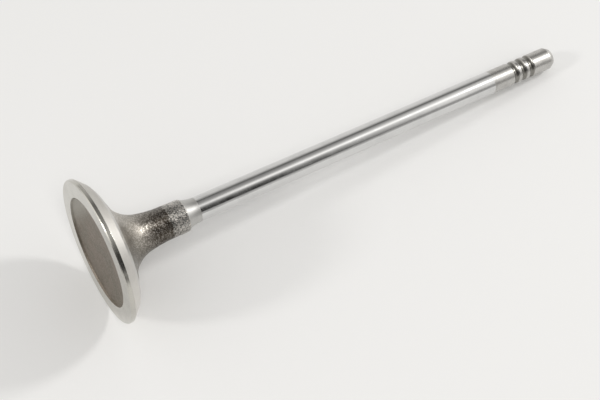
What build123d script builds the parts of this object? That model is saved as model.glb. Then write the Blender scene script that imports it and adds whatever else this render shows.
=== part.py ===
from build123d import *
import os
from math import acos, cos, degrees, radians, sin, sqrt, tan

# Poppet valve for an overhead-cam engine, forged and turned in one piece.
# Millimetres. The valve stands on its combustion face: the origin is the centre
# of that face, +Z runs along the stem to the tip. Everything is one profile,
# radius against height, revolved about Z.

# Head
head_diameter = 29.2          # across the margin
margin_height = 0.85          # from the face to the seat
face_edge_break = 0.2         # chamfer where the face meets the margin
seat_angle = 45.0             # from the plane of the face
seat_width = 1.8              # measured radially
relief_angle = 30.0           # cut behind the seat, from the plane of the face
relief_width = 1.2            # measured radially

# Recess forged into the combustion face
recess_diameter = 22.25       # at its mouth
recess_wall_height = 0.35     # steep wall round the recess
recess_wall_draft = 35.0      # lean of that wall from the valve's axis
recess_dish_depth = 0.45      # how much deeper the dished floor is at its centre

# Tulip: underside, throat arc and a long arc that runs out into the neck
underside_angle = 20.5        # from the plane of the face
throat_radius = 6.5
blend_radius = 25.0
blend_angle = 12.2            # from the axis, where the two arcs meet
neck_draft = 1.0              # taper of the forged neck, from the axis
neck_end_height = 18.3        # from the face

# Stem
stem_diameter = 4.97          # ground and plated, runs in the guide
overall_length = 109.4
neck_allowance = 0.79         # forged neck stands this far out from the stem
runout_allowance = 0.6        # ground run-out starts this far out from the stem
runout_radius = 6.8           # form of the grinding wheel's corner
shoulder_height = 0.2         # from the forged neck to the run-out

# Tip end, past the plating
tip_end_length = 16.7         # unplated length, from the tip
plating_step = 0.02           # the tip end is smaller by this much per side
groove_count = 3              # beads of the keepers
groove_pitch = 2.1
last_groove_to_tip = 6.45
groove_radius = 0.75          # round form of each groove
groove_depth = 0.45
groove_lip_radius = 0.12      # softens the mouth of each groove
tip_chamfer_length = 1.1
tip_chamfer_depth = 0.6
tip_edge_radius = 0.45        # softens both edges of the tip chamfer

# Heights and radii that follow
head_radius = head_diameter / 2
stem_radius = stem_diameter / 2
tip_end_radius = stem_radius - plating_step
neck_radius = stem_radius + neck_allowance
seat_inner_radius = head_radius - seat_width
seat_top = margin_height + seat_width * tan(radians(seat_angle))
relief_inner_radius = seat_inner_radius - relief_width
relief_top = seat_top + relief_width * tan(radians(relief_angle))


def recess_profile():
    """Dished floor from the axis outwards, then the steep wall to the face."""
    mouth_radius = recess_diameter / 2
    floor_radius = mouth_radius - recess_wall_height * tan(radians(recess_wall_draft))
    floor_edge = (floor_radius, recess_wall_height)
    dish_centre = (0, recess_wall_height + recess_dish_depth)
    TangentArc([dish_centre, floor_edge], tangent=(1, 0))
    Line(floor_edge, (mouth_radius, 0))
    return mouth_radius


def seat_profile(mouth_radius):
    """Face land, margin, seat and the relief cut behind the seat."""
    Polyline(
        (mouth_radius, 0),
        (head_radius - face_edge_break, 0),
        (head_radius, face_edge_break),
        (head_radius, margin_height),
        (seat_inner_radius, seat_top),
        (relief_inner_radius, relief_top),
    )


def underside_length():
    """Straight run of the underside that lets both arcs end on the neck.

    Each arc turns the profile from one lean to the next, so its reach across
    and along the axis is its radius times a difference of cosines or sines.
    """
    start_lean = radians(90 - underside_angle)
    meet_lean = radians(blend_angle)
    neck_lean = radians(neck_draft)
    across = (throat_radius * (cos(meet_lean) - cos(start_lean))
              + blend_radius * (cos(neck_lean) - cos(meet_lean)))
    along = (throat_radius * (sin(start_lean) - sin(meet_lean))
             + blend_radius * (sin(meet_lean) - sin(neck_lean)))
    neck_rise = neck_end_height - relief_top - along
    spare = relief_inner_radius - neck_radius - across - neck_rise * tan(neck_lean)
    return spare / (sin(start_lean) - cos(start_lean) * tan(neck_lean))


def tulip_profile():
    """Underside, throat arc, blend arc and drafted neck, each tangent to the last."""
    inward = (-cos(radians(underside_angle)), sin(radians(underside_angle)))
    underside = PolarLine((relief_inner_radius, relief_top), underside_length(), direction=inward)
    throat = JernArc(underside @ 1, underside % 1, throat_radius,
                     blend_angle + underside_angle - 90)
    blend = JernArc(throat @ 1, throat % 1, blend_radius, neck_draft - blend_angle)
    Line(blend @ 1, (neck_radius, neck_end_height))


def runout_profile():
    """Shoulder of the forged neck, then the ground run-out into the stem."""
    shoulder_top = neck_end_height + shoulder_height
    shoulder_end = (stem_radius + runout_allowance, shoulder_top)
    reach = sqrt(runout_allowance * (2 * runout_radius - runout_allowance))
    stem_start = (stem_radius, shoulder_top + reach)
    Line((neck_radius, neck_end_height), shoulder_end)
    TangentArc([stem_start, shoulder_end], tangent=(0, -1))
    return stem_start


def stem_profile(stem_start):
    """Plated stem, the plating's edge and the start of the smaller tip end."""
    plating_end = overall_length - tip_end_length
    tip_end_start = (tip_end_radius, plating_end + plating_step)
    Polyline(stem_start, (stem_radius, plating_end), tip_end_start)
    return tip_end_start


def groove_profile(land_start):
    """Keeper grooves: each is a lip arc, the round groove and a lip arc again.

    The lip's circle lies inside the stem and touches the groove's circle from
    outside, so the line between their centres gives the angle of the lip.
    """
    centres_apart = groove_radius + groove_lip_radius
    across = centres_apart - groove_depth
    half_mouth = sqrt(centres_apart ** 2 - across ** 2)
    lip_turn = degrees(acos(across / centres_apart))
    for n in reversed(range(groove_count)):
        height = overall_length - last_groove_to_tip - n * groove_pitch
        mouth_start = (tip_end_radius, height - half_mouth)
        Line(land_start, mouth_start)
        first_lip = JernArc(mouth_start, (0, 1), groove_lip_radius, lip_turn)
        groove = JernArc(first_lip @ 1, first_lip % 1, groove_radius, -2 * lip_turn)
        last_lip = JernArc(groove @ 1, groove % 1, groove_lip_radius, lip_turn)
        land_start = last_lip @ 1
    return land_start


def tip_profile(land_start):
    """Plain end, softened chamfer and the flat tip, then back down the axis."""
    FilletPolyline(
        land_start,
        (tip_end_radius, overall_length - tip_chamfer_length),
        (tip_end_radius - tip_chamfer_depth, overall_length),
        (0, overall_length),
        radius=tip_edge_radius,
    )
    Line((0, overall_length), (0, recess_wall_height + recess_dish_depth))


def valve():
    """The whole valve, one revolved solid."""
    with BuildPart() as part:
        with BuildSketch(Plane.XZ):
            with BuildLine():
                seat_profile(recess_profile())
                tulip_profile()
                tip_profile(groove_profile(stem_profile(runout_profile())))
            make_face()
        revolve(axis=Axis.Z)
    return part.part


os.makedirs("parts", exist_ok=True)
export_step(valve(), "parts/valve.step")
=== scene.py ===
# %% [markdown]
# # An engine valve, dressed in Blender
# A poppet valve opens and shuts one port of an engine's cylinder. It starts as a bar of
# steel: the head is forged, the seat, margin and face are turned and ground, and the stem
# is ground and plated so that it slides in its guide. So one solid shows several finishes,
# and each of them ends at a sharp circle. The packed solid gives the size and the place;
# this script builds a finer surface over it and gives every zone the finish it was made by.

from math import acos, atan, cos, pi, radians, sin, sqrt, tan

import bpy
import numpy as np
from mathutils import Matrix, Vector


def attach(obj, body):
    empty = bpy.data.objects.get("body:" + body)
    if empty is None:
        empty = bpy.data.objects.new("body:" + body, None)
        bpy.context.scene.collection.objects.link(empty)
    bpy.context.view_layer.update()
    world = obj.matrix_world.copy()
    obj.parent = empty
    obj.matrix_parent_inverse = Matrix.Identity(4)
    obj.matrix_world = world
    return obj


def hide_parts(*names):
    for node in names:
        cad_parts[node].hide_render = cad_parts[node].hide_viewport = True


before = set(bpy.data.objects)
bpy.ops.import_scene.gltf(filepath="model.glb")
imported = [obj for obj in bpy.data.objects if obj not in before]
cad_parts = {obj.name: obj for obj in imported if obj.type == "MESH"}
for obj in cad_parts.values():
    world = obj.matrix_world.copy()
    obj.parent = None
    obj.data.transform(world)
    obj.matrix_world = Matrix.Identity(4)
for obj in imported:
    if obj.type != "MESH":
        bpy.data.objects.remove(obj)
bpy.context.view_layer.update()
scene = bpy.context.scene
print("CAD nodes:", sorted(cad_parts))

# %% [markdown]
# ## Sizes
# A turned part is drawn as one line: the distance from the axis against the height above
# the face. These are the drawing's own sizes, in millimetres, the same as in the solid.
# One small edge radius is added here, because a real edge is never perfectly sharp and
# the thin bright line along it is what makes metal look machined. A bevel could add it
# later, but as part of the drawing it is exact and costs no extra step.

# %% Drawing sizes
HEAD_R, STEM_R, LENGTH = 14.6, 2.485, 109.4
MARGIN, EDGE_BREAK, SEAT_WIDTH = 0.85, 0.2, 1.8
RELIEF_WIDTH, RELIEF_ANGLE = 1.2, radians(30)
RECESS_R, RECESS_WALL, RECESS_DRAFT, DISH = 11.125, 0.35, radians(35), 0.45
UNDERSIDE, THROAT_R, BLEND_R = radians(20.5), 6.5, 25.0
BLEND_LEAN, NECK_LEAN, NECK_TOP, NECK_STEP = radians(12.2), radians(1.0), 18.3, 0.79
SHOULDER, RUNOUT_STEP, RUNOUT_R = 0.2, 0.6, 6.8
TIP_END, PLATING = 16.7, 0.02
GROOVE_COUNT, GROOVE_PITCH, LAST_GROOVE = 3, 2.1, 6.45
GROOVE_R, GROOVE_DEPTH, LIP_R = 0.75, 0.45, 0.12
CHAMFER_RISE, CHAMFER_DEPTH, TIP_EDGE_R = 1.1, 0.6, 0.45
EDGE = 0.06
RELIEF_RISE = RELIEF_WIDTH * tan(RELIEF_ANGLE)
NECK_R = STEM_R + NECK_STEP
TIP_R = STEM_R - PLATING
GROOVE_HEIGHTS = LENGTH - LAST_GROOVE - GROOVE_PITCH * np.arange(GROOVE_COUNT)[::-1]
print("keeper grooves at", GROOVE_HEIGHTS.round(2), "mm")

# %% [markdown]
# ## From corners to a smooth profile
# Every line and arc of the drawing can be written as straight runs that meet at corners,
# each corner with a radius. An arc of radius r that turns by an angle t starts and ends
# r * tan(t / 2) from its corner. So one small function turns a list of corners into a
# dense line of points, and a change to any size keeps all arcs tangent. HOLD is the short
# piece that a run keeps beside each arc, so that the arc's shading stays on the arc.

# %% Round the corners of a path
HOLD, SHORTEST, ARC_PIECE = 0.02, 1e-6, radians(20)


def rounded(corners, step):
    """Points of a path of straight runs with rounded corners, and the run each lies on.

    A corner is (radius from the axis, height, rounding). Its arc leaves the incoming run
    r * tan(turn / 2) before the corner. A point of the arc is the arc's centre plus r
    times the heading there turned a quarter back. Runs are cut into equal pieces.
    """
    spot = np.array([c[:2] for c in corners], float)
    run = np.diff(spot, axis=0)
    heading = np.arctan2(run[:, 1], run[:, 0])
    turn = (np.diff(heading) + pi) % (2 * pi) - pi
    radius = np.array([c[2] for c in corners], float)[1:-1]
    cut = np.concatenate([[0], radius * np.abs(np.tan(turn / 2)), [0]])
    pieces, spans = [spot[:1]], [0]
    for i, course in enumerate(heading):
        along = np.array([np.cos(course), np.sin(course)])
        start, end = spot[i] + along * cut[i], spot[i + 1] - along * cut[i + 1]
        length = np.linalg.norm(end - start)
        if length > SHORTEST:
            first, last = (min(HOLD, length / 4) * (c > 0) for c in cut[i : i + 2])
            count = int(np.ceil((length - first - last) / step[i]))
            marks = np.linspace(first, length - last, count + 1)
            marks = np.unique(np.append(marks, length).round(6))[0 if first else 1 :]
            pieces.append(start + np.outer(marks, along))
            spans += [i] * len(marks)
        if i < len(turn) and radius[i] > 0:
            side = np.sign(turn[i])
            centre = end + radius[i] * side * np.array([-along[1], along[0]])
            fine = min(step[i], radius[i] * ARC_PIECE)
            count = int(np.ceil(radius[i] * abs(turn[i]) / fine))
            angle = course + turn[i] * np.arange(1, count + 1) / count
            back = np.stack([np.sin(angle), -np.cos(angle)], 1)
            pieces.append(centre + radius[i] * side * back)
            spans += [i] * count
    return np.concatenate(pieces), np.array(spans[1:])


bend, _ = rounded([(0, 0, 0), (4, 0, 1), (4, 4, 0)], [4, 4])
print("a corner of radius 1 becomes", bend.round(2).tolist())

# %% [markdown]
# ## The tulip
# The underside of the head sweeps into the stem in one smooth curve, which carries the
# gas round it and the heat into the stem. It is a straight flank, a tight throat arc and
# a long arc. The flank's length is what makes both arcs end on the neck, so it is solved
# from the other sizes and not typed in.

# %% Corners of the tulip
def tulip_corners():
    """Where the flank starts, and where it, the line between the arcs and the neck meet.

    Each arc reaches its radius times a difference of cosines across the axis, and times a
    difference of sines along it. What these leave of the way to the neck is the flank.
    """
    foot = np.array([HEAD_R - SEAT_WIDTH - RELIEF_WIDTH, MARGIN + SEAT_WIDTH + RELIEF_RISE])
    lean = np.array([pi / 2 - UNDERSIDE, BLEND_LEAN, NECK_LEAN])
    way = np.stack([-np.sin(lean), np.cos(lean)], 1)
    throat = THROAT_R * tan((lean[0] - lean[1]) / 2)
    blend = BLEND_R * tan((lean[1] - lean[2]) / 2)
    across = THROAT_R * (cos(lean[1]) - cos(lean[0])) + BLEND_R * (cos(lean[2]) - cos(lean[1]))
    along = THROAT_R * (sin(lean[0]) - sin(lean[1])) + BLEND_R * (sin(lean[1]) - sin(lean[2]))
    spare = foot[0] - NECK_R - across - (NECK_TOP - foot[1] - along) * tan(lean[2])
    flank = spare / (sin(lean[0]) - cos(lean[0]) * tan(lean[2]))
    first = foot + (flank + throat) * way[0]
    second = first + (throat + blend) * way[1]
    return foot, first, second


foot, throat_corner, blend_corner = tulip_corners()
print("throat corner", throat_corner.round(2), "blend corner", blend_corner.round(2))

# %% [markdown]
# ## The keeper grooves
# Three round grooves hold the beads of the split keepers, which lock the spring to the
# stem. A groove is an arc between two small lip arcs. The lip's turn follows from the
# depth: both circles touch, so the line between their centres gives the angle.

# %% Corners of one groove
def groove_corners(height):
    """Mouth, bottom and mouth corner of the groove at this height.

    The mouth's half width is the distance between the circles' centres times the sine of
    the lip's turn, less the lip's own r * tan(turn / 2).
    """
    apart = GROOVE_R + LIP_R
    lip_turn = acos((apart - GROOVE_DEPTH) / apart)
    half_mouth = apart * sin(lip_turn) - LIP_R * tan(lip_turn / 2)
    bottom = TIP_R - half_mouth * tan(lip_turn)
    return [
        (TIP_R, height - half_mouth, LIP_R),
        (bottom, height, GROOVE_R),
        (TIP_R, height + half_mouth, LIP_R),
    ]


print("corners of the first groove", np.round(groove_corners(GROOVE_HEIGHTS[0]), 2).tolist())

# %% [markdown]
# ## The whole profile
# The list runs from the middle of the face round the rim and up to the tip. Each run
# carries the name of the finish that its surface was left with, and the length of the
# pieces it is cut into: short ones where the forged skin needs real bumps, long ones on
# plain cylinders. The dish and the run-out are arcs that would use up their whole run, so
# each gets 97 per cent of its radius and leaves a straight bit at both ends.

# %% Runs, finishes and cuts
FACE, FORGED, RIM, SEAT, RELIEF, RUNOUT, STEM, TIP = range(8)
NEARLY, GROOVE_CUTS = 0.97, (0.1, 0.1, 0.25)
dish_r = RECESS_R - RECESS_WALL * tan(RECESS_DRAFT)
dish_curve = (dish_r**2 + DISH**2) / (2 * DISH)
dish_corner = dish_curve * DISH / dish_r
seat_in = HEAD_R - SEAT_WIDTH
runout_reach = sqrt(RUNOUT_STEP * (2 * RUNOUT_R - RUNOUT_STEP))
runout_corner = NECK_TOP + SHOULDER + runout_reach * (1 - RUNOUT_R / (2 * RUNOUT_R - RUNOUT_STEP))
runs = [
    ((0, RECESS_WALL + DISH, 0), FACE, 0.24),
    ((dish_corner, RECESS_WALL + DISH, NEARLY * dish_curve), FACE, 0.22),
    ((dish_r, RECESS_WALL, EDGE), FACE, 0.15),
    ((RECESS_R, 0, EDGE), RIM, 0.8),
    ((HEAD_R - EDGE_BREAK, 0, EDGE), RIM, 0.15),
    ((HEAD_R, EDGE_BREAK, EDGE), RIM, 0.3),
    ((HEAD_R, MARGIN, EDGE), SEAT, 0.5),
    ((seat_in, MARGIN + SEAT_WIDTH, EDGE), RELIEF, 0.5),
    ((*foot, EDGE), FORGED, 0.2),
    ((*throat_corner, THROAT_R), FORGED, 0.2),
    ((*blend_corner, BLEND_R), FORGED, 0.2),
    ((NECK_R, NECK_TOP, EDGE), RUNOUT, 0.1),
    ((STEM_R + RUNOUT_STEP, NECK_TOP + SHOULDER, EDGE), RUNOUT, 0.2),
    ((STEM_R, runout_corner, NEARLY * RUNOUT_R), STEM, 3.0),
    ((STEM_R, LENGTH - TIP_END, 0), TIP, 0.02),
    ((TIP_R, LENGTH - TIP_END + PLATING, 0), TIP, 0.6),
]
for height in GROOVE_HEIGHTS:
    runs += [(corner, TIP, cut) for corner, cut in zip(groove_corners(height), GROOVE_CUTS)]
runs += [
    ((TIP_R, LENGTH - CHAMFER_RISE, TIP_EDGE_R), TIP, 0.15),
    ((TIP_R - CHAMFER_DEPTH, LENGTH, TIP_EDGE_R), TIP, 0.4),
    ((0, LENGTH, 0), TIP, 0.4),
]
corners, finish_of_run, cut_of_run = zip(*runs)
profile, span = rounded(corners, cut_of_run)
finish = np.array(finish_of_run)[span]
print(len(profile), "profile points, radius up to", profile[:, 0].max().round(3))

# %% [markdown]
# ## The forged skin
# A hot forging keeps the skin of the die and of its own scale: soft waves one or two
# millimetres wide and small pits between them, only hundredths of a millimetre high, but
# enough to break up a reflection. A bump in the material could fake that, but then the
# outline would stay a perfect curve. So noise on a lattice of random numbers is moved
# into the mesh itself.

# %% Noise on a lattice
LATTICE = 64


def lattice_noise(spots, size, seed):
    """Smooth random numbers from -1 to 1 at each spot.

    Space is cut into cubes of this size with a random number at every corner. A spot's
    number is the mix of the eight corners round it, each weighted by how near it is,
    where the share w along each axis is smoothed as w * w * (3 - 2 * w).
    """
    table = np.random.default_rng(seed).uniform(-1, 1, (LATTICE,) * 3)
    cell = np.floor(spots / size).astype(int)
    near = spots / size - cell
    near = near * near * (3 - 2 * near)
    total = np.zeros(spots.shape[:-1])
    for corner in np.ndindex(2, 2, 2):
        share = np.where(corner, near, 1 - near).prod(-1)
        i, j, k = np.moveaxis((cell + corner) % LATTICE, -1, 0)
        total += share * table[i, j, k]
    return total


diagonal = lattice_noise(np.linspace((0, 0, 0), (1, 1, 1), 5), 1.0, 1)
print("noise across one cube:", diagonal.round(2).tolist())

# %% [markdown]
# ## Waves and pits
# The skin is a wide wave, a finer ripple and pits where a third noise runs high. It
# belongs to the forged zones alone: it fades out over half a millimetre before each
# machined circle, because the tool leaves a clean edge, and it is nothing at the poles,
# where all the slices have to meet in one point.

# %% Height of the forged skin
WAVE, WAVE_SIZE = 0.035, 1.9
RIPPLE, RIPPLE_SIZE = 0.02, 0.8
PIT, PIT_SIZE, PIT_LEVEL = 0.05, 0.55, 0.35
FADE, POLE_R = 0.5, 0.01


def skin_height(spots, forged):
    """How far the skin stands off the drawing: wave plus ripple minus pits, in mm."""
    wave = WAVE * lattice_noise(spots, WAVE_SIZE, 1)
    ripple = RIPPLE * lattice_noise(spots, RIPPLE_SIZE, 2)
    pits = PIT * np.clip(lattice_noise(spots, PIT_SIZE, 3) - PIT_LEVEL, 0, 1)
    return forged[:, None] * (wave + ripple - pits)


def forged_share(profile, along, finish):
    """1 on a forged run, falling to 0 over FADE before a change of finish, 0 at a pole.

    A point's distance to the nearest change is the difference of their lengths along the
    profile, and its share is that distance divided by FADE, kept between 0 and 1.
    """
    edge = along[1:-1][finish[1:] != finish[:-1]]
    own = np.concatenate([finish[:1], finish]) <= FORGED
    inside = np.abs(along[:, None] - edge).min(1)
    return own * np.clip(inside / FADE, 0, 1) * (profile[:, 0] > POLE_R)


lowest = WAVE + RIPPLE + PIT * (1 - PIT_LEVEL)
print("the skin lies within", -round(lowest, 4), "and", round(WAVE + RIPPLE, 4), "mm of the drawing")

# %% [markdown]
# ## Turning the profile into a surface
# A lathe part is a surface of two parameters: the place along the profile and the angle
# round the axis. Both are numbered on a grid, so all the points come from one outer
# product, x = radius * cos(angle) and y = radius * sin(angle), and each grid cell is one
# four-sided face. The two ends of the profile lie on the axis and close with triangles.

# %% Revolve with the forged skin
SLICES = 256


def revolved(profile, finish):
    """Points, faces and the finish of each face of the profile turned round Z.

    The skin is added along the profile's normal, which is its heading turned a quarter.
    """
    heading = np.gradient(profile, axis=0)
    heading /= np.linalg.norm(heading, axis=1)[:, None]
    normal = np.stack([heading[:, 1], -heading[:, 0]], 1)
    along = np.concatenate([[0], np.cumsum(np.linalg.norm(np.diff(profile, axis=0), axis=1))])
    forged = forged_share(profile, along, finish)
    angle = 2 * pi * np.arange(SLICES) / SLICES
    turn = np.stack([np.cos(angle), np.sin(angle), np.zeros(SLICES)], 1)
    up = np.array([0, 0, 1.0])
    grid = profile[:, 0, None, None] * turn + profile[:, 1, None, None] * up
    skin = skin_height(grid, forged)[..., None]
    grid = grid + skin * (normal[:, 0, None, None] * turn + normal[:, 1, None, None] * up)
    body = grid[1:-1]
    rings = len(body)
    points = np.concatenate([grid[:1, 0], body.reshape(-1, 3), grid[-1:, 0]])
    here = 1 + np.arange(rings * SLICES).reshape(rings, SLICES)
    beside = np.roll(here, -1, axis=1)
    quads = np.stack([here[:-1], beside[:-1], beside[1:], here[1:]], -1).reshape(-1, 4)
    first = np.stack([np.zeros(SLICES, int), beside[0], here[0]], 1)
    last = np.stack([here[-1], beside[-1], np.full(SLICES, len(points) - 1)], 1)
    per_face = np.concatenate([np.repeat(finish[1:-1], SLICES), np.repeat(finish[[0, -1]], SLICES)])
    return points, quads.tolist() + first.tolist() + last.tolist(), per_face


points, faces, face_finish = revolved(profile, finish)
print(len(points), "points,", len(faces), "faces")

# %% [markdown]
# ## The piece
# The points become one mesh in metres, in the place of the packed node, which is then
# hidden. It rides on the only body, root. Smooth shading hides the joints between small
# faces, but it would also smear a real edge, so it stops at every edge sharper than 25
# degrees. On a closed surface every edge is shared by two faces, so the corners of all
# faces together are twice the edges.

# %% Make the mesh and stand it in for the solid
SHARP = radians(25)
mesh = bpy.data.meshes.new("valve_body")
mesh.from_pydata(points / 1000, [], faces)
mesh.polygons.foreach_set("material_index", face_finish)
mesh.polygons.foreach_set("use_smooth", np.ones(len(faces), bool))
mesh.update()
mesh.set_sharp_from_angle(angle=SHARP)
valve = bpy.data.objects.new("valve_body", mesh)
scene.collection.objects.link(valve)
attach(valve, "root")
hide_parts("valve")
triangles = sum(len(face) - 2 for face in faces)
print("triangles", triangles, "closed", 2 * len(mesh.edges) == len(mesh.loops))

# %% [markdown]
# ## Shader sums in Python
# A node tree is a sum written as boxes and lines. It could be wired box by box, but a
# long sum is then hard to read. With one small class an output takes part in a Python
# expression, and each operator adds the Math node that it stands for.

# %% A wire that can be added and multiplied
class Wire:
    """One output of a node. Sums with it add Math nodes."""

    def __init__(self, tree, socket):
        self.tree, self.socket = tree, socket

    def math(self, operation, first, second=0.0):
        return self.tree.node("ShaderNodeMath", {"operation": operation}, {0: first, 1: second})

    def __add__(self, other):
        return self.math("ADD", self, other)

    def __sub__(self, other):
        return self.math("SUBTRACT", self, other)

    def __rsub__(self, other):
        return self.math("SUBTRACT", other, self)

    def __mul__(self, other):
        return self.math("MULTIPLY", self, other)

    __radd__, __rmul__ = __add__, __mul__


print("a wire knows", [name for name in vars(Wire) if name.endswith(("add__", "sub__", "mul__"))])

# %% [markdown]
# ## A tree to write in
# Every other node comes from one method: its type, its settings, then what goes into it.
# Two more methods give the forms that every finish uses: a mix of two colours, and a
# smooth step from 0 to 1.

# %% A node tree
class Tree:
    """The nodes of a material or of the world."""

    def __init__(self, owner):
        owner.use_nodes = True
        self.nodes, self.links = owner.node_tree.nodes, owner.node_tree.links
        self.nodes.clear()

    def node(self, kind, settings, sockets, result=0):
        """Adds a node, sets it, joins or fills its sockets and returns one output."""
        node = self.nodes.new(kind)
        stops = settings.pop("stops", None)
        for name, value in settings.items():
            setattr(node, name, value)
        if stops:
            ramp = node.color_ramp
            ramp.interpolation = "EASE"
            while len(ramp.elements) < len(stops):
                ramp.elements.new(0.5)
            for element, (place, colour) in zip(ramp.elements, stops):
                element.position, element.color = place, (*colour, 1)
        for name, value in sockets.items():
            found = [s for s in node.inputs if name in (s.identifier, s.name)]
            socket = node.inputs[name] if isinstance(name, int) else found[0]
            if isinstance(value, Wire):
                self.links.new(value.socket, socket)
            else:
                socket.default_value = value
        if not node.outputs:
            return None
        named = [o for o in node.outputs if result in (o.identifier, o.name)]
        return Wire(self, node.outputs[result] if isinstance(result, int) else named[0])

    def colours(self, share, first, second):
        """A mix of two colours: the second one where share is 1."""
        both = {"Factor_Float": share, "A_Color": first, "B_Color": second}
        return self.node("ShaderNodeMix", {"data_type": "RGBA"}, both, "Result_Color")

    def step(self, value, start, end):
        """0 before start, 1 after end and smooth between them."""
        limits = {"Value": value, "From Min": start, "From Max": end}
        smooth = {"interpolation_type": "SMOOTHSTEP"}
        return self.node("ShaderNodeMapRange", smooth, limits)


print("a tree can write", [name for name in vars(Tree) if "_" not in name])

# %% [markdown]
# ## Where a finish is
# A pattern could be painted flat and wrapped round the valve, but then it would stretch
# near the poles and have a seam. So all patterns read the valve's own coordinates, in millimetres.
# Noise on plain coordinates gives specks, and a random number for each small cell gives
# facets. Noise that runs quickly with the height and the radius but slowly along x and y
# gives rings round the axis, which is how every lathe and grinding wheel leaves its marks.

# %% Patterns in the valve's own millimetres
class Steel(Tree):
    """A steel finish: a tree with the valve's own coordinates and its noises."""

    def __init__(self, name):
        self.material = bpy.data.materials.new(name)
        super().__init__(self.material)
        place = self.node("ShaderNodeTexCoord", {}, {}, "Object")
        scaled = {"Vector": place, "Scale": 1000.0}
        self.mm = self.node("ShaderNodeVectorMath", {"operation": "SCALE"}, scaled)
        self.height = self.node("ShaderNodeSeparateXYZ", {}, {"Vector": self.mm}, "Z")
        flat = {"Vector": self.mm, 1: (1.0, 1.0, 0.0)}
        level = self.node("ShaderNodeVectorMath", {"operation": "MULTIPLY"}, flat)
        length = {"operation": "LENGTH"}
        self.radius = self.node("ShaderNodeVectorMath", length, {"Vector": level}, "Value")

    def ragged_height(self, reach, size):
        """The height in millimetres, shifted by specks of this size by up to half of reach."""
        return self.height + reach * (self.specks(size) - 0.5)

    def toward(self, way):
        """How far a point lies from the axis along a level direction, in millimetres."""
        product = {"operation": "DOT_PRODUCT"}
        return self.node("ShaderNodeVectorMath", product, {"Vector": self.mm, 1: way}, "Value")

    def specks(self, size, detail=2.0, stretch=(1.0, 1.0, 1.0)):
        """Noise from about 0.3 to 0.7 with specks of this size in millimetres."""
        drawn = {"Vector": self.mm, "Scale": tuple(s / size for s in stretch)}
        place = self.node("ShaderNodeMapping", {}, drawn)
        return self.node("ShaderNodeTexNoise", {}, {"Vector": place, "Scale": 1.0, "Detail": detail})

    def facets(self, size):
        """A random number from 0 to 1 for each small cell of this size in millimetres."""
        place = self.node("ShaderNodeMapping", {}, {"Vector": self.mm, "Scale": (1 / size,) * 3})
        cells = self.node("ShaderNodeTexVoronoi", {}, {"Vector": place, "Scale": 1.0}, "Color")
        return self.node("ShaderNodeSeparateXYZ", {}, {"Vector": cells}, "X")

    def rings(self, pitch, drift=3.0):
        """Noise that changes every pitch along the profile and every drift round it."""
        near = (1 / drift, 1 / drift, 1 / pitch)
        place = self.node("ShaderNodeMapping", {}, {"Vector": self.mm, "Scale": near})
        turns = {"Vector": place, "W": self.radius * (1 / pitch), "Scale": 1.0, "Detail": 1.0}
        return self.node("ShaderNodeTexNoise", {"noise_dimensions": "4D"}, turns)

    def bump(self, height, depth):
        """A normal for a height of 0 to 1 that stands depth millimetres proud."""
        relief = {"Strength": 1.0, "Distance": depth / 1000, "Height": height}
        return self.node("ShaderNodeBump", {}, relief)

    def finish(self, colour, roughness, normal, streak=0.0):
        """The shader. Streak spreads highlights across the rings, along the axis."""
        surface = {
            "Base Color": colour,
            "Metallic": 1.0,
            "Roughness": roughness,
            "Normal": normal,
            "Anisotropic": streak,
            "Anisotropic Rotation": 0.25,
        }
        shader = self.node("ShaderNodeBsdfPrincipled", {}, surface)
        self.node("ShaderNodeOutputMaterial", {}, {"Surface": shader})
        return self.material


print("a steel finish can write", [name for name in vars(Steel) if "__" not in name])

# %% [markdown]
# ## Directions
# A level direction is given by its azimuth, counted from -Y towards +X as the views are.
# The side of the forged skin and face that gets painted light, the board, the lamps and the
# camera are all placed with it.

# %% A level direction
def level_way(azimuth):
    """The level direction at this angle, counted from -Y towards +X."""
    return Vector((sin(azimuth), -cos(azimuth), 0))


# the side that gets painted light; painted shade goes on the opposite side
PAINTED_LIGHT_SIDE = level_way(radians(165))
# the printed direction is where the painted light lies
print("painted light lies towards", [round(x, 3) for x in PAINTED_LIGHT_SIDE])

# %% [markdown]
# ## Forged skin
# The forging is left as it came from the die and the shot blast: a brown-grey oxide with
# brighter specks where the shot has hit bare steel. Noise alone would draw curls, so the
# specks are a sum of noise and facets. The flank near the rim is a paler grey and the neck
# is burnt dark. Painted light makes the skin paler on one side, and painted shade makes it
# darker on the other, with fewer bright specks. The end of the neck is blasted more, so it
# is paler, and the change is a soft ragged line and no machined edge. Each pair of numbers
# below says where one change starts and ends, in millimetres: above the face, or out from
# the axis towards the side with painted light.

# %% Forged skin of the head's back and the neck
FLANK_ENDS, NECK_BURNS, BLAST_STARTS, BLAST_CLEANS = (7.2, 12.2), (10.0, 13.0), (14.5, 14.8), (14.8, 18.0)
# where the painted light rises and the painted shade fades out, in mm from the axis towards the lit side
PAINTED_LIGHT_RISES, PAINTED_SHADE_FADES = (1.6, 3.2), (-4.5, -0.5)
BURNT, BROWN, GREY_SCALE = (0.05, 0.041, 0.032, 1), (0.075, 0.063, 0.05, 1), (0.28, 0.26, 0.228, 1)
BLASTED, BLASTED_CLEAN = (0.29, 0.285, 0.265, 1), (0.5, 0.495, 0.475, 1)
IN_THE_PITS, BARE_SPECK = (0.07, 0.068, 0.063, 1), (0.78, 0.73, 0.67, 1)
# tones of the painted light on one side and of the painted shade on the other
PAINTED_LIGHT_TONE, PAINTED_SHADE_TONE = (0.7, 0.68, 0.64, 1), (0.06, 0.051, 0.038, 1)


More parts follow.
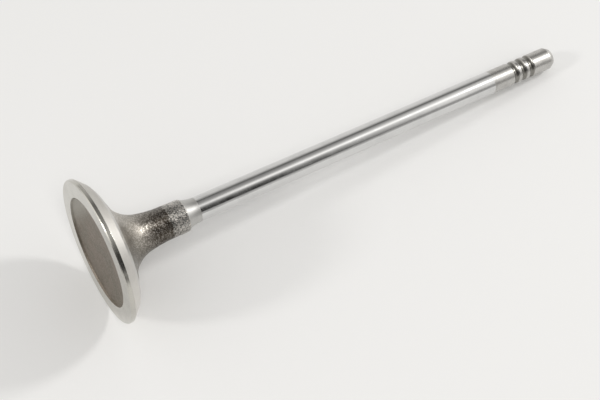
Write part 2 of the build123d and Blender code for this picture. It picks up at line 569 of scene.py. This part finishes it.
def forged_skin():
    """Scale, then blasted steel, then painted light and painted shade on two sides, then specks, each mixed
    over the last.
    """
    steel = Steel("forged_skin")
    noise = steel.specks(0.22)
    sparkle = 0.45 * noise + 0.3 * steel.facets(0.17) + 0.125
    shine = steel.step(sparkle, 0.52, 0.6)
    pits = 1 - steel.step(sparkle, 0.41, 0.48)
    patches = steel.step(steel.specks(2.2), 0.38, 0.62)
    paler = steel.step(steel.ragged_height(1.2, 0.8), *BLAST_STARTS)
    flank = 1 - steel.step(steel.ragged_height(3.0, 1.2), *FLANK_ENDS)
    # masks for painted light on one side of the skin and painted shade on the other
    across = steel.toward(PAINTED_LIGHT_SIDE)
    painted_light = steel.step(across, *PAINTED_LIGHT_RISES)
    painted_shade = 1 - steel.step(across, *PAINTED_SHADE_FADES)
    oxide = steel.colours(patches, BURNT, BROWN)
    scale = steel.colours(flank, oxide, GREY_SCALE)
    cleaner = steel.step(steel.height, *BLAST_CLEANS)
    blasted = steel.colours(cleaner, BLASTED, BLASTED_CLEAN)
    blasted = steel.colours(pits * 0.8, blasted, IN_THE_PITS)
    skin = steel.colours(paler, scale, blasted)
    # painted light makes one side paler, painted shade makes the other darker
    skin = steel.colours(painted_light * 0.14, skin, PAINTED_LIGHT_TONE)
    skin = steel.colours(painted_shade * 0.62, skin, PAINTED_SHADE_TONE)
    burnt = steel.step(steel.height, *NECK_BURNS)
    # fewer bright specks where the shade is painted
    bare = (0.45 - 0.15 * burnt + 0.5 * paler) * (1 - 0.5 * painted_shade)
    bright = steel.colours(shine * bare, skin, BARE_SPECK)
    rough = 0.38 - 0.05 * shine + 0.05 * patches - 0.06 * paler
    return steel.finish(bright, rough, steel.bump(noise, 0.05))


skin = forged_skin()
print(skin.name, "has", len(skin.node_tree.nodes), "nodes")

# %% [markdown]
# ## Forged face
# The recess in the face is forged too. Its scale is an even brown in soft patches with a
# fine grain, and it is duller than the back. It could share the back's material, but the
# two would then need one more mask. So it is the same sum again with fewer terms, and it
# too has painted light that makes it paler on the same side.

# %% Forged face of the recess
# where painted light makes the recess paler on one side, in mm from the axis
FACE_PAINTED_LIGHT_RISES = (5.5, 10.0)
FACE_BROWN, FACE_WARM = (0.175, 0.152, 0.118, 1), (0.232, 0.196, 0.162, 1)
# the first tone is the painted light on one side, the second the grain
FACE_PAINTED_LIGHT, FACE_GRAIN = (0.42, 0.415, 0.375, 1), (0.42, 0.385, 0.34, 1)


def forged_face():
    """Patches of scale, then painted light on one side, then the grain, each mixed over the last."""
    steel = Steel("forged_face")
    fine = steel.specks(0.3, 3.0)
    grain = steel.step(fine, 0.4, 0.65)
    patches = steel.step(steel.specks(3.5), 0.35, 0.65)
    oxide = steel.colours(patches, FACE_BROWN, FACE_WARM)
    # painted light: the recess is paler on one side
    painted_light = steel.step(steel.toward(PAINTED_LIGHT_SIDE), *FACE_PAINTED_LIGHT_RISES)
    oxide = steel.colours(painted_light * 0.6, oxide, FACE_PAINTED_LIGHT)
    bright = steel.colours(grain * 0.25, oxide, FACE_GRAIN)
    rough = 0.52 + 0.06 * patches - 0.06 * grain
    return steel.finish(bright, rough, steel.bump(fine, 0.05))


face = forged_face()
print(face.name, "has", len(face.node_tree.nodes), "nodes")

# %% [markdown]
# ## Turned, ground and plated steel
# Machined steel is bright because its marks are fine, and it looks brushed because they
# all run the same way. A highlight spreads across the marks: on the stem that draws the
# long streaks. The marks could be cut into the mesh, but they are far finer than any
# face, so they are a bump. One function makes these finishes from a colour, a roughness,
# the pitch and depth of the rings in millimetres, and how far a highlight streaks. The
# plated stem and the rim are the smoothest, and the ground seat is the dullest.

# %% Machined finishes
def machined(name, tone, rough, pitch, depth, streak):
    """A tone dulled by smudges, scratches along the axis and the rings of the tool."""
    steel = Steel(name)
    rings = steel.rings(pitch)
    smudge = steel.step(steel.specks(4.0), 0.35, 0.7)
    scratch = steel.step(steel.specks(1.0, 2.0, (5.0, 5.0, 0.3)), 0.55, 0.75)
    dull = tuple(0.86 * c for c in tone[:3]) + (1,)
    colour = steel.colours(0.35 * smudge + 0.35 * scratch + 0.3 * rings, tone, dull)
    roughness = rough + 0.08 * (smudge - 0.5) + 0.06 * scratch + 0.1 * (rings - 0.5)
    return steel.finish(colour, roughness, steel.bump(rings, depth), streak)


rim = machined("faced_rim", (0.587, 0.573, 0.527, 1), rough=0.2, pitch=0.18, depth=0.0006, streak=0.2)
seat = machined("ground_seat", (0.715, 0.696, 0.66, 1), rough=0.56, pitch=0.1, depth=0.0006, streak=0.7)
relief = machined("turned_relief", (0.62, 0.605, 0.58, 1), rough=0.36, pitch=0.18, depth=0.0008, streak=0.5)
runout = machined("ground_runout", (0.6, 0.595, 0.577, 1), rough=0.5, pitch=0.18, depth=0.0008, streak=0.5)
stem = machined("plated_stem", (0.72, 0.72, 0.715, 1), rough=0.17, pitch=0.12, depth=0.0003, streak=0.6)
print("machined:", [material.name for material in (rim, seat, relief, runout, stem)])

# %% [markdown]
# ## The tip end
# Past the plating the stem is bare steel, duller and a little darker. In the keeper grooves
# the finish turns grey below the surface of the land, partly dirt that stays there and partly
# painted shade of the hollow: it starts at one depth and is full at another. The chamfer of
# the tip lies below that surface too, but it stays bare, so the grey ends a little past the last groove.

# %% Tip end and keeper grooves
# depths below the land where the grey of dirt and painted shade starts and is full
DIRT_AND_SHADE_STARTS, DIRT_AND_SHADE_FULL = 0.03, 0.2
DIRT_AND_SHADE_ENDS = GROOVE_HEIGHTS[-1] + 1.0, GROOVE_HEIGHTS[-1] + 1.5
# the last tone is the grooves' grey, partly dirt and partly painted shade
TIP_PALE, TIP_DULL, GROOVE_DIRT_AND_SHADE = (0.55, 0.54, 0.52, 1), (0.48, 0.47, 0.45, 1), (0.24, 0.232, 0.21, 1)


def tip_steel():
    """Bare steel in smudges, with dirt and painted shade mixed over it in the grooves."""
    steel = Steel("bare_tip")
    rings = steel.rings(0.16)
    smudge = steel.step(steel.specks(2.0), 0.35, 0.7)
    # deeper in a groove is greyer: partly dirt, partly painted shade of the hollow
    deep = 1 - steel.step(steel.radius, TIP_R - DIRT_AND_SHADE_FULL, TIP_R - DIRT_AND_SHADE_STARTS)
    grooved = 1 - steel.step(steel.height, *DIRT_AND_SHADE_ENDS)
    dirt_and_shade = deep * grooved
    grain = steel.step(steel.specks(0.25), 0.35, 0.65)
    bare = steel.colours(smudge, TIP_PALE, TIP_DULL)
    colour = steel.colours(dirt_and_shade * 0.9, bare, GROOVE_DIRT_AND_SHADE)
    roughness = 0.25 + 0.05 * smudge + 0.05 * dirt_and_shade + 0.08 * (rings - 0.5) + 0.05 * grain
    return steel.finish(colour, roughness, steel.bump(rings * 0.7 + grain * 0.3, 0.0012))


tip = tip_steel()
print(tip.name, "has", len(tip.node_tree.nodes), "nodes")

# %% [markdown]
# ## Give every zone its finish
# A face of the mesh holds the number of its material. The numbers were set from the runs
# of the drawing, so the materials only have to be added in the same order.

# %% Materials of the mesh
for material in (face, skin, rim, seat, relief, runout, stem, tip):
    mesh.materials.append(material)
print("finishes:", [material.name for material in mesh.materials])

# %% [markdown]
# ## Paint for the surroundings
# A valve needs something to cast its shadow on. Two plain surfaces do that, and each is
# seen from its front only, so that neither hides the valve from behind or from below. The
# paint mixes a dull colour with a see-through shader, by which side faces the eye and by
# how far out a point lies. The board's reach lies past its edge, so only the floor melts.

# %% One-sided paint
def one_sided(name, colour, reach):
    """Paint that shows on the front only and melts away from half of reach to reach."""
    material = bpy.data.materials.new(name)
    tree = Tree(material)
    behind = tree.node("ShaderNodeNewGeometry", {}, {}, "Backfacing")
    place = tree.node("ShaderNodeTexCoord", {}, {}, "Object")
    away = tree.node("ShaderNodeVectorMath", {"operation": "LENGTH"}, {"Vector": place}, "Value")
    shows = (1 - behind) * (1 - tree.step(away, reach / 2, reach))
    paint = tree.node("ShaderNodeBsdfDiffuse", {}, {"Color": (*colour, 1)})
    through = tree.node("ShaderNodeBsdfTransparent", {}, {})
    mixed = tree.node("ShaderNodeMixShader", {}, {0: shows, 1: through, 2: paint})
    tree.node("ShaderNodeOutputMaterial", {}, {"Surface": mixed})
    return material


BACKDROP, FLOOR_LIGHT = Vector((0.86, 0.85, 0.83)), 0.945
BOARD_REACH, FLOOR_REACH = 9.0, 0.45
board_paint = one_sided("board_paint", BACKDROP, BOARD_REACH)
floor_paint = one_sided("floor_paint", BACKDROP / FLOOR_LIGHT, FLOOR_REACH)
print("paints:", board_paint.name, "and", floor_paint.name)

# %% [markdown]
# ## The surface behind and the floor
# The valve stands on its head, and a pale board leans against it, so that the rim and the
# tip both touch the board. The board is far wider than the view, and the floor melts
# into the backdrop: its paint is the backdrop's colour divided by the light on it. Neither
# casts a shadow, so lamps shine through both, and the steel does not mirror the floor,
# because the studio has a table for that. A hair's gap, in metres like the other sizes
# here, keeps both surfaces clear of the steel.

# %% Board and floor
BOARD_AZIMUTH = radians(225)
BOARD_LEAN = -atan((HEAD_R - TIP_R) / (LENGTH - CHAMFER_RISE - EDGE_BREAK))
BOARD_HALF, BOARD_GAP = 1.5, 0.0001
FLOOR_HALF, FLOOR_GAP = 1.0, 0.00002
UPWARD = Vector((0, 0, 1))


def plane(name, centre, normal, half, material):
    """A square of four points that faces along its normal and casts no shadow."""
    side = normal.orthogonal().normalized()
    up = normal.cross(side)
    square = bpy.data.meshes.new(name)
    spots = [centre + half * (a * side + b * up) for a, b in ((-1, -1), (1, -1), (1, 1), (-1, 1))]
    square.from_pydata(spots, [], [(0, 1, 2, 3)])
    square.materials.append(material)
    surface = bpy.data.objects.new(name, square)
    surface.visible_shadow = surface.visible_diffuse = False
    scene.collection.objects.link(surface)
    return surface


board_way = cos(BOARD_LEAN) * level_way(BOARD_AZIMUTH) + sin(BOARD_LEAN) * UPWARD
rim_touch = Vector((0, 0, EDGE_BREAK)) - HEAD_R * level_way(BOARD_AZIMUTH)
board_spot = rim_touch / 1000 - BOARD_GAP * board_way
plane("board", board_spot, board_way, BOARD_HALF, board_paint)
floor = plane("floor", -FLOOR_GAP * UPWARD, UPWARD, FLOOR_HALF, floor_paint)
floor.visible_glossy = False
print("board faces", [round(x, 3) for x in board_way])

# %% [markdown]
# ## Soft studio light
# Round steel shows the room more than its own colour: pale where it mirrors a panel,
# dark where it mirrors the gap between two panels. Each panel could be a lamp of its
# own, but they would all throw shadows. So the panels are painted on the world, as upright
# bands. A band is an azimuth in degrees and a brightness, and there are three rows of
# them: level with the valve, low above it and high.

# %% Bands of the studio
LEVEL_BANDS = [
    (120, 0.55), (152, 0.5), (175, 0.32), (187, 0.2), (198, 0.23), (224, 0.34), (234, 0.41),
    (241, 0.34), (248, 0.24), (256, 0.13), (264, 0.07), (272, 0.045), (281, 0.02), (296, 0.025),
    (302, 0.36), (308, 0.06), (318, 0.06), (335, 0.6),
]
LOW_BANDS = [
    (120, 0.85), (150, 0.85), (160, 0.8), (171, 0.6), (181, 0.34), (189, 0.08), (196, 0.24),
    (209, 0.32), (223, 0.52), (232, 1.05), (242, 1.25), (249, 0.72), (256, 0.36), (264, 0.16),
    (272, 0.03), (292, 0.01), (299, 0.5), (306, 0.62), (335, 0.6),
]
HIGH_BANDS = [
    (120, 0.85), (150, 0.85), (169, 0.58), (179, 0.34), (186, 0.12), (193, 0.28), (200, 0.5),
    (212, 0.9), (226, 1.18), (242, 1.32), (270, 1.34), (281, 1.05), (289, 0.65), (298, 0.37),
    (318, 0.45), (335, 0.6),
]
for row in (LEVEL_BANDS, LOW_BANDS, HIGH_BANDS):
    print(len(row), "bands, the brightest", max(level for _, level in row))

# %% [markdown]
# ## The studio as a world
# Below the rows lies a pale table that is dark on the viewer's side, and above them hangs
# a panel. The pairs of numbers are the elevations or azimuths, in degrees, between which
# one turns into the next. Only mirror-like rays see this studio. Painted surfaces are lit
# by an even room, and the camera sees a plain backdrop. ROOM is the room's part of the
# light on a painted surface, and the lamps give the rest.

# %% The studio world
LEVEL_TO_LOW, LOW_TO_HIGH, TABLE_TO_WALLS, WALLS_TO_PANEL = (11, 18), (20.5, 36), (-42, -20), (46, 66)
TABLE_TURNS, PANEL_TURNS = (238, 262), (220, 290)
TABLE, TABLE_BY_VIEWER = (1.1, 1.08, 1.05, 1), (0.08, 0.08, 0.08, 1)
PANEL, PANEL_BY_VIEWER = (1.5, 1.47, 1.43, 1), (0.8, 0.79, 0.77, 1)
WARMTH, ROOM = (1.0, 0.985, 0.96), 0.565
world = bpy.data.worlds.new("studio")
scene.world = world
world.cycles.sampling_method = "NONE"
sky = Tree(world)
way = sky.node("ShaderNodeTexCoord", {}, {}, "Generated")
east, north, rise = [sky.node("ShaderNodeSeparateXYZ", {}, {"Vector": way}, axis) for axis in "XYZ"]
around = east.math("ARCTAN2", east, 0 - north) * (0.5 / pi)
turned_on = around.math("FRACT", around + 1.0)


def bands(levels):
    """A row of bands, each a little warmer than grey."""
    stops = [(angle / 360, tuple(part * level for part in WARMTH)) for angle, level in levels]
    return sky.node("ShaderNodeValToRGB", {"stops": stops}, {"Fac": turned_on})


def above(elevations):
    """0 below the first elevation in degrees, 1 above the second."""
    return sky.step(rise, *(sin(radians(angle)) for angle in elevations))


def past(azimuths):
    """0 before the first azimuth in degrees, 1 after the second."""
    return sky.step(turned_on, *(angle / 360 for angle in azimuths))


low_walls = sky.colours(above(LEVEL_TO_LOW), bands(LEVEL_BANDS), bands(LOW_BANDS))
walls = sky.colours(above(LOW_TO_HIGH), low_walls, bands(HIGH_BANDS))
table = sky.colours(past(TABLE_TURNS), TABLE, TABLE_BY_VIEWER)
panel = sky.colours(past(PANEL_TURNS), PANEL, PANEL_BY_VIEWER)
above_table = sky.colours(above(TABLE_TO_WALLS), table, walls)
mirrored = sky.colours(above(WALLS_TO_PANEL), above_table, panel)
glossy = sky.node("ShaderNodeLightPath", {}, {}, "Is Glossy Ray")
camera_ray = sky.node("ShaderNodeLightPath", {}, {}, "Is Camera Ray")
lit = sky.colours(glossy, (ROOM, ROOM, ROOM, 1), mirrored)
shown = sky.colours(camera_ray, lit, (*BACKDROP, 1))
light = sky.node("ShaderNodeBackground", {}, {"Color": shown, "Strength": 1.0})
sky.node("ShaderNodeOutputWorld", {}, {"Surface": light})
print("the studio has", len(sky.nodes), "nodes")

# %% [markdown]
# ## The lamps
# Four round lamps stand round the middle of the valve. The high one and the low one throw
# the soft shadows. The front one stands by the viewer and keeps the shadows on the board
# pale, and it is not mirrored in the steel. The last one fills the side that is turned
# away from the others.

# %% Lamps
MIDDLE, LAMP_DISTANCE = 0.05 * UPWARD, 0.9


def lamp(name, azimuth, elevation, diameter, share):
    """A round lamp that gives this share of the light on a surface that faces it.

    The angles are in degrees and the diameter in metres. A disc of power P lights a
    surface at distance d by P / (pi * d * d), and a white surface shows that light
    divided by pi, so P = share * (pi * d) ** 2.
    """
    flat = cos(radians(elevation)) * level_way(radians(azimuth))
    way = flat + sin(radians(elevation)) * UPWARD
    source = bpy.data.lights.new(name, "AREA")
    source.shape, source.size = "DISK", diameter
    source.energy = share * (pi * LAMP_DISTANCE) ** 2
    holder = bpy.data.objects.new(name, source)
    aim = way.to_track_quat("Z", "Y").to_matrix().to_4x4()
    holder.matrix_world = Matrix.Translation(MIDDLE + LAMP_DISTANCE * way) @ aim
    holder.visible_camera = False
    scene.collection.objects.link(holder)
    return holder


lamp("lamp_high", azimuth=237.0, elevation=46.9, diameter=0.14, share=0.31)
lamp("lamp_low", azimuth=205.1, elevation=-63.5, diameter=0.14, share=0.175)
lamp_front = lamp("lamp_front", azimuth=255.6, elevation=-11.5, diameter=0.3, share=0.2)
lamp_front.visible_glossy = False
lamp("lamp_fill", azimuth=60.0, elevation=50.0, diameter=0.5, share=0.2)

# %% [markdown]
# ## The camera
# A camera is a place, a point it aims at and a roll. This one is close to the head and
# below it, so the face shows as a narrow ellipse and the stem runs away to the tip. The
# roll lays the stem across the view. Places are in millimetres, as in the drawing, and so
# are the lens's focal length and the sensor's width. NEAREST, in metres, is where the
# camera starts to see.

# %% Camera
CAMERA_AZIMUTH, CAMERA_OUT, CAMERA_RISE = radians(255.586), 217.98, -44.27
AIM, ROLL = Vector((-1.796, -6.217, 41.691)), radians(-65.948)
LENS, SENSOR, NEAREST = 70.31, 36.0, 0.01
camera_spot = CAMERA_OUT * level_way(CAMERA_AZIMUTH) + CAMERA_RISE * UPWARD
look = (AIM - camera_spot).normalized()
level_side = look.cross(UPWARD).normalized()
level_up = level_side.cross(look)
up = cos(ROLL) * level_up + sin(ROLL) * level_side
side = look.cross(up)
lens = bpy.data.cameras.new("camera")
lens.lens, lens.sensor_width, lens.clip_start = LENS, SENSOR, NEAREST
camera = bpy.data.objects.new("camera", lens)
turned_axes = Matrix((side, up, -look)).transposed().to_4x4()
camera.matrix_world = Matrix.Translation(camera_spot / 1000) @ turned_axes
scene.collection.objects.link(camera)
scene.camera = camera
scene.view_settings.view_transform = "Standard"
print("camera at", [round(x, 1) for x in camera_spot], "mm")

# %% [markdown]
